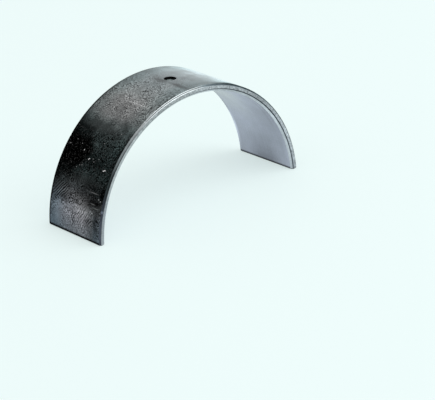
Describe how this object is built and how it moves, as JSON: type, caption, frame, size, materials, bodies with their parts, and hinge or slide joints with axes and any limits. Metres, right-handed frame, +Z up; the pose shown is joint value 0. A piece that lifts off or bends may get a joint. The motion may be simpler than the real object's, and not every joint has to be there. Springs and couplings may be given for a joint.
{
  "type": "engine bearing shell",
  "caption": "Thin half shell of a plain connecting-rod bearing, with an oil hole near the crown, chamfered edges and no locating tang.",
  "frame": {"origin": "on the surface that the shell stands on, midway between its two parting faces and midway between its side faces", "axes": "+X across the ends towards the leg that the oil hole leans to, +Y along the bore axis, +Z up to the crown"},
  "size_m": [0.052, 0.0164, 0.0249],
  "materials": {
    "shell_steel": "dark mottled steel back, satin light grey side faces and matte blue-grey bore lining"
  },
  "bodies": {
    "root": {"bearing_shell": "shell_steel"}
  },
  "joints": []
}
